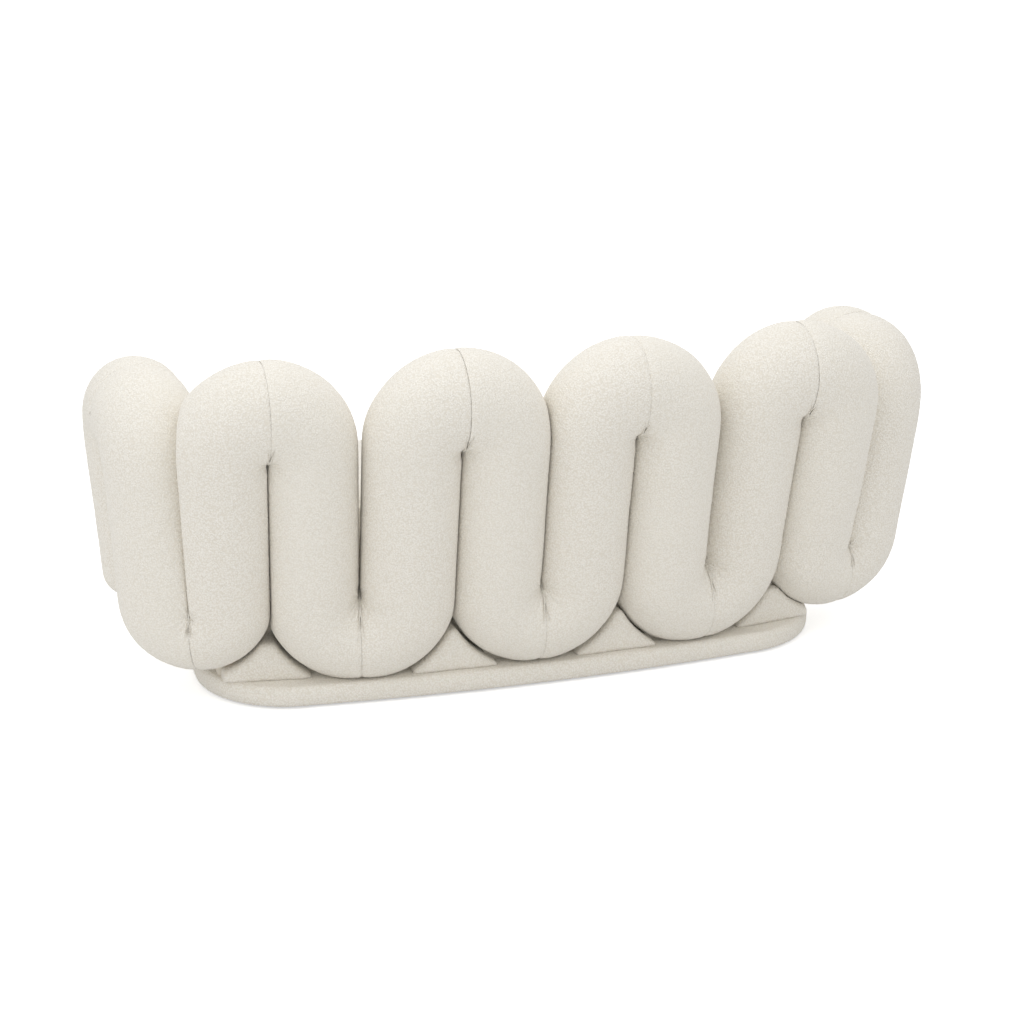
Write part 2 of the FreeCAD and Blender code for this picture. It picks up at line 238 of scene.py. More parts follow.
def mixColors(tree, factor, low, high):
    # factor is a socket; low and high are hex strings or colour sockets
    node = add(tree, "ShaderNodeMix", {"data_type": "RGBA"}, {0: factor})
    for index, color in ((6, low), (7, high)):
        if isinstance(color, str):
            node.inputs[index].default_value = linear(color)
        else:
            tree.links.new(color, node.inputs[index])
    return node.outputs[2]


waveLength = 0.314  # a Wave texture of scale 1 repeats every 0.314 m


def relief(tree, shader, height, strength, distance):
    # small bumps from a height socket, distance in metres
    bump = add(tree, "ShaderNodeBump", {"in:Strength": strength, "in:Distance": distance},
               {"Height": height})
    tree.links.new(bump.outputs[0], shader.inputs["Normal"])


boucle = {
    "loop": 0.0040,      # real width of one yarn loop
    "fibre": 0.0014,     # fuzz on the yarn, drawn coarser than life so that it shows
    # toneAndShading sets the size of random tone patches; the per-piece toneAndShading attribute
    # adds painted shading
    "toneAndShading": 0.16,         # patches where the pile lies another way
    # tip and shadedHollow: the hollows between the loops are painted darker than the loop tops, as
    # painted shade
    "tip": "#F8F5EE",
    "shadedHollow": "#E6E0D4",
    "brushedSheen": "#EFEBE1",
}


def boucleMaterial():
    # Ivory bouclé: looped wool blend, woven loose: matt, nubby, bright at grazing angles.
    material, tree, shader, place = newMaterial(
        "boucle_looped_wool", Roughness=0.95, Sheen_Weight=0.22, Sheen_Roughness=0.55)
    shader.inputs["Specular IOR Level"].default_value = 0.15
    cells = add(tree, "ShaderNodeTexVoronoi", {"feature": "F1", "in:Scale": 1 / boucle["loop"]},
                {"Vector": place}).outputs["Distance"]
    tips = add(tree, "ShaderNodeMapRange", {1: 0.75, 2: 0.1, 3: 0.0, 4: 1.0},
               {0: cells}).outputs[0]
    fuzz = add(tree, "ShaderNodeTexNoise", {"in:Scale": 1 / boucle["fibre"], "in:Detail": 2.0},
               {"Vector": place}).outputs["Fac"]
    toneAndShading = add(tree, "ShaderNodeTexNoise", {"in:Scale": 1 / boucle["toneAndShading"], "in:Detail": 2.0},
              {"Vector": place}).outputs["Fac"]
    # per-piece toneAndShading attribute: a painted sheen change between pieces whose pile lies
    # another way, and painted shade on the plinth band, on top of random tone; brushedSheen is the
    # lighter colour it mixes in
    side = add(tree, "ShaderNodeAttribute", {"attribute_name": "toneAndShading"}).outputs["Fac"]
    toneAndShadingLevel = add(tree, "ShaderNodeMath", {"operation": "ADD"}, {0: toneAndShading, 1: side}).outputs[0]
    # painted shade: each loop fades from the tip colour to the darker shadedHollow colour in the
    # hollows around it
    yarn = mixColors(tree, tips, boucle["shadedHollow"], boucle["tip"])
    patch = add(tree, "ShaderNodeMapRange", {1: 0.3, 2: 0.9, 3: 0.0, 4: 0.45}, {0: toneAndShadingLevel}).outputs[0]
    color = mixColors(tree, patch, yarn, boucle["brushedSheen"])
    tree.links.new(color, shader.inputs["Base Color"])
    height = add(tree, "ShaderNodeMath", {"operation": "MULTIPLY_ADD", 1: 0.35},
                 {0: fuzz, 2: tips}).outputs[0]
    relief(tree, shader, height, 0.55, 0.0016)
    return material


wood = {
    "growth": 0.009,    # width of the figure across the grain
    "fleck": 0.0016,    # width of a ray fleck
    "ply": 0.0015,      # thickness of one ply
    "wrap": 0.080,      # height up to which a post's foot is bound in an offcut of the cover
    "beechDark": "#B98A5E", "beechLight": "#D9B083", "beechFleck": "#8C6239",
    "birchDark": "#C9A877", "birchLight": "#E4CBA0",
    "plyDark": "#A87C4B", "plyLight": "#DDBF92",
}


def beechMaterial():
    # Planed beech, unfinished: pinkish tan with short darker flecks along the grain.
    material, tree, shader, place = newMaterial("beech_planed", Roughness=0.62)
    stretched = add(tree, "ShaderNodeMapping", {"in:Scale": (1.0, 1.0, 0.06)}, {"Vector": place})
    grain = add(tree, "ShaderNodeTexNoise",
                {"in:Scale": 1 / wood["growth"], "in:Detail": 6.0, "in:Distortion": 0.4},
                {"Vector": stretched.outputs[0]})
    flecks = add(tree, "ShaderNodeTexNoise", {"in:Scale": 1 / wood["fleck"], "in:Detail": 2.0},
                 {"Vector": stretched.outputs[0]})
    dark = add(tree, "ShaderNodeMapRange", {1: 0.62, 2: 0.72, 3: 0.0, 4: 0.5},
               {0: flecks.outputs["Fac"]}).outputs[0]
    color = mixColors(tree, grain.outputs["Fac"], wood["beechDark"], wood["beechLight"])
    timber = mixColors(tree, dark, color, wood["beechFleck"])
    height = add(tree, "ShaderNodeSeparateXYZ", None, {0: place}).outputs[2]
    wrapped = add(tree, "ShaderNodeMath", {"operation": "LESS_THAN", 1: wood["wrap"]},
                  {0: height}).outputs[0]
    # the offcut takes the bouclé's shadedHollow colour, which is darker by painted shade
    tree.links.new(mixColors(tree, wrapped, timber, boucle["shadedHollow"]),
                   shader.inputs["Base Color"])
    relief(tree, shader, flecks.outputs["Fac"], 0.2, 0.0004)
    return material


def plywoodMaterial():
    # Birch plywood, sanded: pale long-grained faces and 1.5 mm plies that show as edge stripes.
    material, tree, shader, place = newMaterial("birch_plywood", Roughness=0.58)
    stretched = add(tree, "ShaderNodeMapping", {"in:Scale": (0.05, 1.0, 1.0)}, {"Vector": place})
    grain = add(tree, "ShaderNodeTexNoise", {"in:Scale": 1 / wood["growth"], "in:Detail": 5.0},
                {"Vector": stretched.outputs[0]}).outputs["Fac"]
    face = mixColors(tree, grain, wood["birchDark"], wood["birchLight"])
    plies = add(tree, "ShaderNodeTexWave", {"bands_direction": "Z",
                                            "in:Scale": waveLength / (2 * wood["ply"])},
                {"Vector": place}).outputs["Fac"]
    stripe = mixColors(tree, plies, wood["plyDark"], wood["plyLight"])
    upward = add(tree, "ShaderNodeSeparateXYZ", None,
                 {0: add(tree, "ShaderNodeNewGeometry").outputs["Normal"]}).outputs[2]
    flat = add(tree, "ShaderNodeMath", {"operation": "ABSOLUTE"}, {0: upward}).outputs[0]
    tree.links.new(mixColors(tree, flat, stripe, face), shader.inputs["Base Color"])
    relief(tree, shader, grain, 0.15, 0.0004)
    return material


def wovenMaterial(name, thread, low, high, roughness, sheen=0.0):
    # Plain weave: two crossed sets of threads of a real thread spacing, on Object coordinates.
    material, tree, shader, place = newMaterial(name, Roughness=roughness, Sheen_Weight=sheen)
    shader.inputs["Specular IOR Level"].default_value = 0.2
    scale = waveLength / thread
    waves = [add(tree, "ShaderNodeTexWave", {"bands_direction": way, "in:Scale": scale,
                                             "in:Distortion": 0.6, "in:Detail": 1.0},
                 {"Vector": place}).outputs["Fac"] for way in ("X", "Y")]
    weave = add(tree, "ShaderNodeMath", {"operation": "MULTIPLY"},
                {0: waves[0], 1: waves[1]}).outputs[0]
    slub = add(tree, "ShaderNodeTexNoise", {"in:Scale": 0.12 / thread, "in:Detail": 3.0},
               {"Vector": place}).outputs["Fac"]
    mixed = add(tree, "ShaderNodeMath", {"operation": "MULTIPLY_ADD", 1: 0.5},
                {0: slub, 2: weave}).outputs[0]
    tree.links.new(mixColors(tree, mixed, low, high), shader.inputs["Base Color"])
    relief(tree, shader, weave, 0.4, 0.0005)
    return material


def nylonMaterial():
    # Moulded nylon: charcoal, slightly mottled, with a fine satin grain from the mould.
    grain = 0.004
    material, tree, shader, place = newMaterial("nylon_moulded", Roughness=0.42)
    mottle = add(tree, "ShaderNodeTexNoise", {"in:Scale": 1 / grain, "in:Detail": 3.0},
                 {"Vector": place}).outputs["Fac"]
    tree.links.new(mixColors(tree, mottle, "#1B1B1C", "#2C2C2E"), shader.inputs["Base Color"])
    relief(tree, shader, mottle, 0.2, 0.0002)
    return material


boucleCloth = boucleMaterial()
beechWood = beechMaterial()
birchPly = plywoodMaterial()
calicoCloth = wovenMaterial("calico_plain_weave", 0.0018, "#DDD5C2", "#F3EDDF", 0.9, 0.1)
elasticStrap = wovenMaterial("elastic_webbing", 0.0022, "#14130F", "#3A3733", 0.75)
cambricCloth = wovenMaterial("cambric_bonded_black", 0.0016, "#08080A", "#1E1E20", 0.85)
nylonGlide = nylonMaterial()
print("materials made")


def planOutline(shape, inset=0.0, spacing=0.02):
    # closed level outline as points: bowed back, round corners, front and sides drawn in by a
    # shallow parabola; the same number of points on each stretch whatever the inset
    half, back, front = shape["half"] - inset, shape["back"] - inset, shape["front"] + inset
    bow, draw = shape.get("bow", 0.0), shape.get("draw", 0.0)
    sideBack = back - bow

    def count(length):
        return max(4, int(round(length / spacing)))

    def stretch(start, end, outward, sagitta, steps):
        t = np.linspace(0, 1, steps, endpoint=False)[:, None]
        line = np.array(start) * (1 - t) + np.array(end) * t
        return line + np.array(outward) * sagitta * 4 * t * (1 - t)

    def corner(cx, cy, radius, startAngle, steps):
        angle = startAngle - np.linspace(0, math.pi / 2, steps, endpoint=False)
        return np.stack([cx + radius * np.cos(angle), cy + radius * np.sin(angle)], axis=1)

    fullBack, fullFront = shape["radii"]
    backRadius, frontRadius = [max(radius - inset, radius / 2) for radius in shape["radii"]]
    backSteps = count(2 * shape["half"] - 2 * fullBack)
    frontSteps = count(2 * shape["half"] - 2 * fullFront)
    sideSteps = count(shape["back"] - shape["front"] - fullBack - fullFront)
    backTurn, frontTurn = count(fullBack * 1.57), count(fullFront * 1.57)
    backX, frontX = half - backRadius, half - frontRadius
    backY, frontY = sideBack - backRadius, front + frontRadius
    quarter = math.pi / 2
    parts = [
        stretch((-backX, sideBack), (backX, sideBack), (0, 1), bow, backSteps),
        corner(backX, backY, backRadius, quarter, backTurn),
        stretch((half, backY), (half, frontY), (-1, 0), draw, sideSteps),
        corner(frontX, frontY, frontRadius, 0.0, frontTurn),
        stretch((frontX, front), (-frontX, front), (0, 1), draw, frontSteps),
        corner(-frontX, frontY, frontRadius, -quarter, frontTurn),
        stretch((-half, frontY), (-half, backY), (1, 0), draw, sideSteps),
        corner(-backX, backY, backRadius, math.pi, backTurn),
    ]
    return np.concatenate(parts), [len(part) for part in parts]


def level(points, height):
    return np.column_stack([points, np.full(len(points), height)])


def distanceOutside(places, loop):
    # signed distance from a closed loop of points, positive outside it
    start, end = loop, np.roll(loop, -1, axis=0)
    edge = end - start
    best = np.full(len(places), 9.0)
    inside = np.zeros(len(places), bool)
    for a, b, run in zip(start, end, edge):
        t = np.clip(((places - a) @ run) / (run @ run), 0, 1)
        best = np.minimum(best, np.hypot(*(places - a - t[:, None] * run).T))
        crosses = (a[1] > places[:, 1]) != (b[1] > places[:, 1])
        if crosses.any():
            x = a[0] + (places[:, 1] - a[1]) * run[0] / (run[1] if run[1] else 1e-12)
            inside ^= crosses & (places[:, 0] < x)
    return np.where(inside, -best, best)


tube = {
    "radius": 0.109,
    "slit": 0.0018,           # between two legs, below the crown
    "stationHeight": 0.417,   # where legRows says a leg stands
    "footHeight": 0.244,      # axis at which the lower turns start
    "backHead": 0.590,        # axis at which the back's upper turns start
    "armHead": 0.538,
    "armRise": 0.104,         # from there to an arm's crown
    "armSquareness": 0.74,    # power of the cosine and sine: below 1 is squarer than an ellipse
    "saddleDepth": 0.007,
    "saddleWidth": 0.045,
    "freeEnd": 0.060,         # length of the rounded end of legs 1 and 12
    "overallDepth": 0.820,
    "slack": 0.0008,          # the cloth's loops fill this much of the radius
    "press": 0.0030,          # how softly a slit's edges roll in
    "seamPress": 0.0001,
    "firmCount": 12,          # points of the axis left as they are at each seam
    "smoothings": 60,
    "aroundCount": 208,
    "arcCount": 92,
    "straightCount": 104,
    "endCount": 34,
}
# Sitter's left half, from the arm's front leg to the middle: x, setback from the back line,
# side lean, backward lean, on an arm.
legRows = [
    (0.818, 0.340, 0.065, -0.027, True),
    (0.805, 0.127, 0.060, 0.080, True),
    (0.688, 0.059, 0.022, 0.240, False),
    (0.502, 0.046, 0.035, 0.189, False),
    (0.291, 0.004, 0.0, 0.189, False),
    (0.096, 0.000, 0.0, 0.189, False),
]
legRows += [(-x, setback, -side, lean, arm) for x, setback, side, lean, arm in legRows[::-1]]
legRows[10] = (-0.840, 0.127, -0.085, 0.080, True)  # the right arm stands a little wider
legRows[11] = (-0.822, 0.340, -0.085, -0.027, True)
legCount = len(legRows)


def legAt(index, height, backLine):
    x, setback, side, lean, _ = legRows[index]
    rise = height - tube["stationHeight"]
    return np.array([x + side * rise, backLine - setback + lean * rise, height])


def makeTurn(index, backLine):
    # frame of the U-turn between two legs: pivot, direction to the first leg, rise to the crown
    first, second = index, index + 1
    atTop, onArm = index % 2 == 0, index % 2 == 0 and legRows[index][4]
    head = [tube["armHead"] if legRows[i][4] else tube["backHead"] for i in (first, second)]
    near = head[0] if atTop else tube["footHeight"]
    far = tube["footHeight"] if atTop else min(head)
    starts = [legAt(i, near, backLine) for i in (first, second)]
    ends = [legAt(i, far, backLine) for i in (first, second)]
    pivot = (starts[0] + starts[1]) / 2
    half = starts[0] - starts[1]
    chord = unit(half)
    run = pivot - (ends[0] + ends[1]) / 2
    rise = unit(run - chord * (run @ chord))
    normal = np.cross(chord, rise)
    outward = normal @ (pivot - np.array([0.0, -0.15, pivot[2]]))
    normal = normal if outward > 0 else -normal
    divide = unit(np.cross(np.cross(chord, rise), run))
    divide = divide if divide @ chord > 0 else -divide
    radius = np.linalg.norm(half) / 2
    return {"pivot": pivot, "chord": chord, "rise": rise, "normal": normal, "divide": divide,
            "radius": radius, "height": tube["armRise"] if onArm else radius, "onArm": onArm}


crownReach = max((turn["pivot"] + turn["rise"] * turn["height"])[1]
                 for turn in (makeTurn(i, 0.0) for i in range(0, legCount - 1, 2)))
backLine = tube["overallDepth"] / 2 - crownReach - tube["radius"]
turns = [makeTurn(i, backLine) for i in range(legCount - 1)]

plinth = {"half": 0.736, "back": backLine + 0.023, "front": -0.350, "radii": (0.223, 0.110),
          "bow": 0.027, "top": 0.050, "bottom": 0.005, "rest": 0.0516, "nearby": 0.09}
plinthLoop, _ = planOutline(plinth, 0.0, 0.02)


def arcAxis(turn, sense, angle):
    # quarter of the tube's axis in a turn: an ellipse, squarer and a little saddled on the arms
    power = tube["armSquareness"] if turn["onArm"] else 1.0
    beside = np.cos(angle) ** power * turn["radius"]
    above = np.sin(angle) ** power * turn["height"]
    if turn["onArm"]:
        above = above - tube["saddleDepth"] * np.exp(-(beside / tube["saddleWidth"]) ** 2)
    return (turn["pivot"] + np.outer(beside, turn["chord"] * sense)
            + np.outer(above, turn["rise"]))


def bolsterAxis(index):
    # the axis from the seam below to the seam over the crown, with a reference direction that
    # points out of the sofa at each point, and the length along the axis to each end
    lowTurn = index if index % 2 else index - 1
    highTurn = index - 1 if index % 2 else index
    free = lowTurn in (-1, legCount - 1)
    high = turns[highTurn]
    highSense = 1 if highTurn == index else -1
    nearSeam = np.radians([1.6, 0.95, 0.5, 0.2, 0.0])
    sweep = np.concatenate([np.linspace(0, math.pi / 2 - 0.04, tube["arcCount"]),
                            math.pi / 2 - nearSeam])
    highArc = arcAxis(high, highSense, sweep)
    foot = legAt(index, tube["footHeight"], backLine)
    share = np.linspace(0, 1, tube["straightCount"])[1:-1, None]
    straight = foot * (1 - share) + highArc[0] * share
    if free:
        lowNormal = high["normal"]
        lowArc = foot[None, :]
    else:
        low = turns[lowTurn]
        lowNormal = low["normal"]
        lowArc = arcAxis(low, 1 if lowTurn == index else -1, sweep)[::-1]
    centres = np.concatenate([lowArc, straight, highArc])
    firm = tube["firmCount"]
    for _ in range(tube["smoothings"]):
        centres[firm:-firm] = (centres[firm - 1:-firm - 1] + 2 * centres[firm:-firm]
                               + centres[firm + 1:len(centres) - firm + 1]) / 4
    blend = np.concatenate([np.zeros(len(lowArc)), share[:, 0], np.ones(len(highArc))])[:, None]
    reference = lowNormal * (1 - blend) + high["normal"] * blend
    return centres, reference, lowTurn, highTurn, free


def pressApart(points, turn, sense):
    # flattens a leg where it meets its neighbour across the plane between the two
    away = points - turn["pivot"]
    above = away @ turn["rise"]
    lift = smoothStep(0.0, 0.05, above)[:, None]
    normal = unit(turn["divide"] * (1 - lift) + turn["chord"] * lift) * sense
    distance = (away * normal).sum(axis=1)
    closeness = smoothStep(-0.012, 0.010, above)
    softness = tube["press"] * (1 - closeness) + tube["seamPress"] * closeness
    gap = tube["slit"] / 2 * (1 - closeness) + tube["seamPress"] * closeness
    pressed = softFloor(distance, gap, softness)
    return points + (pressed - distance)[:, None] * normal


pucker = {"count": 13, "height": 0.0010, "ring": 0.024, "ringWidth": 0.018,
          "dimple": 0.0022, "dimpleWidth": 0.020}


def slitPuckers(points, normals, turn, seed):
    # little gathers that fan out from the end of the slit, where the cover is drawn in
    away = points - turn["pivot"]
    beside, above = away @ turn["chord"], away @ turn["rise"]
    reach = np.hypot(beside, above)
    angle = np.arctan2(above, beside)
    wobble = 0.9 * np.sin(2.3 * angle + seed)
    waves = np.cos(pucker["count"] * angle + wobble + seed)
    strength = np.exp(-((reach - pucker["ring"]) / pucker["ringWidth"]) ** 2)
    dimple = np.exp(-(reach / pucker["dimpleWidth"]) ** 2)
    return (pucker["height"] * waves * strength - pucker["dimple"] * dimple)[:, None] * normals


seam = {"dip": 0.0019, "width": 0.0036, "drawIn": 0.0014, "drawInWidth": 0.020,
        "drag": 0.0006, "dragPitch": 0.0045, "dragWidth": 0.013}


def seamGroove(points, normals, turn, sense, seed):
    # the sewn seam: the cover dips into it, with faint drag lines square to it
    away = points - turn["pivot"]
    above = away @ turn["rise"]
    inSeam = np.abs((away @ turn["chord"]) * sense)
    here = smoothStep(0.0, 0.03, above)
    dip = (-seam["dip"] * np.exp(-(inSeam / seam["width"]) ** 2)
           - seam["drawIn"] * np.exp(-(inSeam / seam["drawInWidth"]) ** 2))
    along = np.arctan2(away @ turn["normal"], above) * tube["radius"]
    ripple = np.cos(along / seam["dragPitch"] + 3 * lumps(points, 0.05, seed))
    drag = seam["drag"] * ripple * np.exp(-inSeam / seam["dragWidth"])
    return ((dip + drag) * here)[:, None] * normals


def makeBolster(index):
    # rings of the tube's radius square to its axis, pressed against what each one touches
    centres, reference, lowTurn, highTurn, free = bolsterAxis(index)
    tangent = unit(np.gradient(centres, axis=0))
    tangent[-1] = -turns[highTurn]["chord"] * (1 if highTurn == index else -1)
    radius = np.full(len(centres), tube["radius"] - tube["slack"])
    if free:
        turnDown = np.linspace(math.pi / 2 - 0.05, 0, tube["endCount"], endpoint=False)
        down = -unit(centres[1] - centres[0])
        tip = centres[0] + np.outer(np.sin(turnDown) * tube["freeEnd"], down)
        centres = np.concatenate([tip, centres])
        radius = np.concatenate([np.cos(turnDown) ** 0.8 * radius[0], radius])
        tangent = np.concatenate([np.repeat(tangent[:1], len(tip), axis=0), tangent])
        reference = np.concatenate([np.repeat(reference[:1], len(tip), axis=0), reference])
    else:
        tangent[0] = turns[lowTurn]["chord"] * (1 if lowTurn == index else -1)
    second = unit(reference - tangent * (reference * tangent).sum(axis=1, keepdims=True))
    first = np.cross(tangent, second)
    phi = np.linspace(0, 2 * math.pi, tube["aroundCount"], endpoint=False)
    grid = (centres[:, None, :]
            + (radius[:, None] * np.cos(phi))[..., None] * first[:, None, :]
            + (radius[:, None] * np.sin(phi))[..., None] * second[:, None, :])
    rows, columns = grid.shape[:2]
    points = grid.reshape(-1, 3)
    uneven = 0.0016 * lumps(points, 0.13, 40 + index) + 0.0007 * lumps(points, 0.05, 60 + index)
    points = points + unit(points - np.repeat(centres, columns, axis=0)) * uneven[:, None]
    pair = [(turn, 1 if turn == index else -1) for turn in (index - 1, index)
            if 0 <= turn < legCount - 1]
    for turn, sense in pair:
        points = pressApart(points, turns[turn], sense)
    low = points[:, 2] < plinth["nearby"]
    if low.any():  # the lower turns rest on the plinth and hang free beside it
        outside = distanceOutside(points[low][:, :2], plinthLoop)
        floor = plinth["rest"] - plinth["top"] * smoothStep(-0.001, 0.022, outside)
        points[low, 2] = softFloor(points[low, 2], floor, 0.0025)
    normals = gridNormals(points.reshape(grid.shape)).reshape(-1, 3)
    outwards = ((points - np.repeat(centres, columns, axis=0)) * normals).sum()
    normals = normals if outwards > 0 else -normals
    smoothed = points.copy()
    for turn, sense in pair:
        points = points + slitPuckers(smoothed, normals, turns[turn], index + 2 * turn)
        points = points + seamGroove(smoothed, normals, turns[turn], sense, 80 + turn)
    fluffy = fleece(points, normals, 11)
    allPoints, faces = cappedEnds(fluffy.reshape(rows, columns, 3))
    piece = makePiece("bolster_cover_%02d" % (index + 1), allPoints, faces)
    # alternate bolsters are painted lighter and darker, a painted sheen change as where the pile
    # lies another way across a seam; the lumps add random tone
    toneAndShading = 0.10 * (1 if index % 2 else -1) + 0.06 * lumps(allPoints, 0.25, 90 + index)
    setAttribute(piece, "toneAndShading", toneAndShading)
    finishPiece(piece, boucleCloth, "ivory_boucle", "frame", "bolster_%02d" % (index + 1))


for legIndex in range(legCount):
    makeBolster(legIndex)
print("bolsters made")


band = {
    "spacing": 0.0042,
    "clearance": 0.0004,
    "lowRoll": 0.010,        # radius of the roll at the floor
    "swell": 0.0012,         # of the face between the rolls
    "faceFrom": 0.015,
    "faceHeight": 0.022,
    "highRoll": 0.013,       # width of the roll at the top
    "highFrom": 0.0372,
    "highRise": 0.0132,
    "topFrom": 0.0172,
    "topTo": 0.12,           # the cloth runs in over the top panel this far
    "backing": 0.0149,
    "fluff": 0.0010,
}


def makePlinthBand():
    # upright padded face with soft upper and lower rolls; its cloth runs in over the top panel
    bottom, top = plinth["bottom"] + band["clearance"], plinth["top"]
    profile = []
    for step in np.linspace(0, math.pi / 2, 7):
        profile.append((band["lowRoll"] * (1 - math.sin(step)),
                        bottom + band["lowRoll"] * (1 - math.cos(step))))
    for step in np.linspace(0.1, 0.9, 6):
        profile.append((-band["swell"] * math.sin(math.pi * step),
                        band["faceFrom"] + band["faceHeight"] * step))
    for step in np.linspace(0, math.pi / 2, 9):
        profile.append((band["highRoll"] * (1 - math.cos(step)),
                        band["highFrom"] + band["highRise"] * math.sin(step)))
    fluffRows = len(profile)  # the rest lies under the bolsters or inside
    for inset in np.linspace(band["topFrom"], band["topTo"], 26):
        profile.append((inset, top + 0.0003))
    profile += [(band["topTo"], top + 0.00015), (band["topTo"] / 2, top + 0.00015),
                (band["backing"] + 0.0004, top + 0.0001), (band["backing"], top - 0.01),
                (band["backing"], bottom + 0.02), (band["backing"], bottom)]
    grid = np.stack([level(planOutline(plinth, inset, band["spacing"])[0], height)
                     for inset, height in profile])
    normals = outwardNormals(grid)
    raised = fleece(grid[:fluffRows], normals[:fluffRows], 23, band["fluff"])
    rows, columns = grid.shape[:2]
    points = np.concatenate([raised, grid[fluffRows:]]).reshape(-1, 3)
    piece = makePiece("plinth_band_cover", points, [gridFaces(rows, columns, wrapRows=True)])
    # random tone, set 0.05 lower so that the band's cloth is painted a little darker, as painted
    # shade
    setAttribute(piece, "toneAndShading", 0.08 * lumps(points, 0.3, 5) - 0.05)
    finishPiece(piece, boucleCloth, "ivory_boucle", "frame", "plinth_band")


makePlinthBand()

dustCover = {"inset": 0.0155, "spacing": 0.03, "thickness": 0.0005, "ripple": 0.00012,
             "middle": -0.04}


def makeDustCover():
    # thin bonded cloth stapled flat under the plinth: inset outlines shrinking to the middle
    rings = []
    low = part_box("dust_cover")[0]
    for share in np.linspace(1.0, 0.02, 14):
        outline = planOutline(plinth, dustCover["inset"], dustCover["spacing"])[0] * [share, share]
        outline[:, 1] += (1 - share) * dustCover["middle"]
        rings.append(outline)
    ripple = [dustCover["ripple"] * lumps(level(ring, 0.0), 0.09, 3) for ring in rings]
    under = [level(ring, low.z + 0.0004) + np.outer(rise, (0, 0, 1))
             for ring, rise in zip(rings, ripple)]
    over = [ring + np.array([0, 0, dustCover["thickness"]]) for ring in under]
    piece = makePiece("dust_cover_cloth", *cappedEnds(np.stack(over[::-1] + under)))
    finishPiece(piece, cambricCloth, "black_cambric", "frame", "dust_cover")


makeDustCover()
print("plinth made")


footX = legAt(0, tube["footHeight"], backLine)[0]
lowestAxis = tube["footHeight"] - turns[5]["radius"]
# plan of the bench: it stands this side of the arms' front legs and of the back's lower turns
bench = {"half": footX - tube["radius"] - 0.007,
         "back": legAt(3, lowestAxis, backLine)[1] - tube["radius"] - 0.006,
         "front": -0.398, "radii": (0.120, 0.060)}
apron = {"spacing": 0.0045, "dome": 0.0065, "padding": 0.0125, "backing": 0.0192,
         "seamDip": 0.0022, "seamColumns": 0.9}


def makeApron():
    # padded cloth face all round the bench, softly domed, with a seam down each corner
    low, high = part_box("bench_apron")
    bottom, top = low.z + 0.0006, high.z - 0.0004
    profile = []
    for t in np.linspace(0, 1, 46):
        dome = (1 - abs(2 * t - 1) ** 6)
        profile.append((apron["dome"] * (1 - dome), bottom + (top - bottom) * t))
    for t in np.linspace(0.1, 0.9, 4):
        profile.append((apron["dome"] + apron["padding"] * t, top))
    for t in np.linspace(1, 0, 12):
        profile.append((apron["backing"], bottom + (top - bottom) * t))
    for t in np.linspace(0.9, 0.1, 4):
        profile.append((apron["dome"] + apron["padding"] * t, bottom))
    grid = np.stack([level(planOutline(bench, inset, apron["spacing"])[0], height)
                     for inset, height in profile])
    normals = outwardNormals(grid)
    rows, columns = grid.shape[:2]
    counts = planOutline(bench, 0.0, apron["spacing"])[1]
    ends = np.cumsum([0] + counts)
    order = np.arange(columns)[None, :]
    corners = [ends[stretch] + counts[stretch] // 2 for stretch in (1, 3, 5, 7)]
    dip = sum(np.exp(-((order - corner) / apron["seamColumns"]) ** 2) for corner in corners)
    grid = grid - (dip * apron["seamDip"])[..., None] * normals
    points = fleece(grid, normals, 31).reshape(-1, 3)
    piece = makePiece("bench_apron_cover", points, [gridFaces(rows, columns, wrapRows=True)])
    setAttribute(piece, "toneAndShading", 0.05 * lumps(points, 0.3, 6))
    finishPiece(piece, boucleCloth, "ivory_boucle", "frame", "bench_apron")


makeApron()


def readMesh(piece, field):
    # one row per vertex: field is "co" for places or "normal"
    flat = np.zeros(len(piece.data.vertices) * 3, np.float32)
    piece.data.vertices.foreach_get(field, flat)
    return flat.reshape(-1, 3).astype(float)


def setPoints(piece, points):
    piece.data.vertices.foreach_set("co", np.asarray(points, np.float32).ravel())
    piece.data.update()


def bakeModifiers(piece):
    # the piece's mesh with its modifiers worked in, and none left on it
    graph = bpy.context.evaluated_depsgraph_get()
    mesh = bpy.data.meshes.new_from_object(piece.evaluated_get(graph))
    piece.modifiers.clear()
    piece.data = mesh


def evenMesh(piece, size):
    step = piece.modifiers.new("even", "REMESH")
    step.mode = "VOXEL"
    step.voxel_size = size
    step.use_smooth_shade = True


def subdivide(piece):
    step = piece.modifiers.new("finer", "SUBSURF")
    step.levels = 1
    step.render_levels = 1
    bakeModifiers(piece)


infill = {"voxel": 0.0042, "smoothings": 12, "swell": 0.005, "reach": 0.694, "softness": 0.006}


def makeInfill():
    # padded blocks in the gaps under the upper turns, rounded as a stuffed cover rounds them
    piece = bpy.data.objects.new("back_infill_cover", nodes["back_infill"].data.copy())
    scene.collection.objects.link(piece)
    weld = piece.modifiers.new("weld", "WELD")
    weld.merge_threshold = 0.00002
    evenMesh(piece, infill["voxel"])
    soft = piece.modifiers.new("soft", "SMOOTH")
    soft.iterations = infill["smoothings"]
    bakeModifiers(piece)
    points, normals = readMesh(piece, "co"), readMesh(piece, "normal")
    points = points + normals * infill["swell"]
    points[:, 2] = np.maximum(points[:, 2], plinth["top"] + 0.0004)
    reached = -softFloor(-np.abs(points[:, 0]), -infill["reach"], infill["softness"])
    points[:, 0] = np.sign(points[:, 0]) * reached  # stays behind the outermost turns
    setPoints(piece, fleece(points, normals, 71))
    setAttribute(piece, "toneAndShading", 0.06 * lumps(points, 0.2, 8))
    finishPiece(piece, boucleCloth, "ivory_boucle", "frame", "back_infill")


